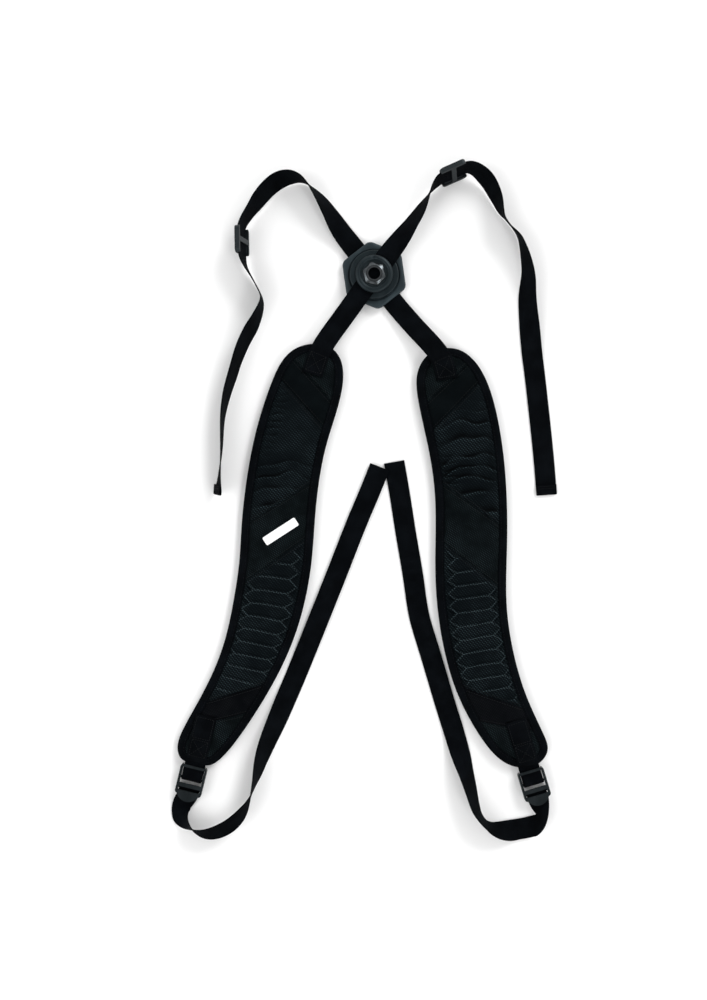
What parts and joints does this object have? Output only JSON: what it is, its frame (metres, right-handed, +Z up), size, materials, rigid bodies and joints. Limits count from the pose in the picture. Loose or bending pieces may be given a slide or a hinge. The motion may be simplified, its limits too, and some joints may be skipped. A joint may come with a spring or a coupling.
{
  "type": "padded shoulder strap harness",
  "caption": "Padded shoulder straps joined by crossed webbings at a swivel hub, each with a ladder lock buckle, a loose lower strap and an upper tail with a slide.",
  "frame": {"origin": "hub swivel axis on the surface the harness lies on", "axes": "+Z up from the surface, +Y from the pads towards the hub's far side, +X towards the right pad"},
  "size_m": [0.4718, 0.8206, 0.0337],
  "materials": {
    "webbing": "matt woven tape",
    "foam": "closed-cell foam",
    "lining": "knitted air mesh",
    "edge_tape": "ribbed binding tape",
    "quilted_mesh": "quilted diamond weave",
    "plain_weave": "plain weave",
    "badge": "moulded mark",
    "hub_nut": "polished",
    "hub_post": "moulded",
    "washer": "low-friction plastic",
    "hub_plastic": "fine satin",
    "buckle_plastic": "fine satin"
  },
  "bodies": {
    "back_harness": {"hub_back_cover": "hub_plastic", "hub_plate": "hub_plastic", "hub_washer": "washer", "hub_post": "hub_post", "hub_nut": "hub_nut", "back_webbing": "webbing", "pad_foam_right": "foam", "pad_lining_right": "lining", "pad_binding_right": "edge_tape", "pad_top_panel_right": "plain_weave", "pad_upper_band_right": "plain_weave", "pad_upper_quilt_right": "quilted_mesh", "pad_plain_panel_right": "plain_weave", "pad_lower_quilt_right": "quilted_mesh", "pad_lower_band_right": "plain_weave", "pad_end_panel_right": "plain_weave", "anchor_patch_right": "webbing", "anchor_loop_right": "webbing", "lower_strap_right": "webbing"},
    "front_harness": {"hub_disc": "hub_plastic", "hub_cap": "hub_plastic", "front_webbing": "webbing", "pad_foam_left": "foam", "pad_lining_left": "lining", "pad_binding_left": "edge_tape", "pad_top_panel_left": "plain_weave", "pad_upper_band_left": "plain_weave", "pad_upper_quilt_left": "quilted_mesh", "pad_plain_panel_left": "plain_weave", "pad_lower_quilt_left": "quilted_mesh", "pad_lower_band_left": "plain_weave", "pad_end_panel_left": "plain_weave", "anchor_patch_left": "webbing", "anchor_loop_left": "webbing", "pad_badge_left": "badge", "lower_strap_left": "webbing"},
    "lock_left": {"ladder_lock_left": "buckle_plastic"},
    "lock_right": {"ladder_lock_right": "buckle_plastic"},
    "glide_left": {"tri_glide_left": "buckle_plastic"},
    "glide_right": {"tri_glide_right": "buckle_plastic"}
  },
  "joints": [
    {"name": "hub_swivel", "type": "hinge", "parent": "back_harness", "child": "front_harness", "pos_m": [0, 0, 0.01], "axis": [0, 0, 1], "range_deg": [-4, 11]},
    {"name": "ladder_lock_left_tilt", "type": "hinge", "parent": "front_harness", "child": "lock_left", "pos_m": [-0.21696, -0.5923, 0.005], "axis": [-0.9711, 0.2385, 0], "range_deg": [0, 20], "deforming": ["anchor_loop_left", "lower_strap_left"]},
    {"name": "ladder_lock_right_tilt", "type": "hinge", "parent": "back_harness", "child": "lock_right", "pos_m": [0.18799, -0.59725, 0.005], "axis": [-0.9578, -0.2874, 0], "range_deg": [0, 20], "deforming": ["anchor_loop_right", "lower_strap_right"]},
    {"name": "tri_glide_left_slide", "type": "slide", "parent": "back_harness", "child": "glide_left", "axis": [0.0174, -0.9998, 0], "range_m": [-0.003, 0.003]},
    {"name": "tri_glide_right_slide", "type": "slide", "parent": "front_harness", "child": "glide_right", "axis": [0.9135, 0.4067, 0], "range_m": [-0.003, 0.003]}
  ]
}
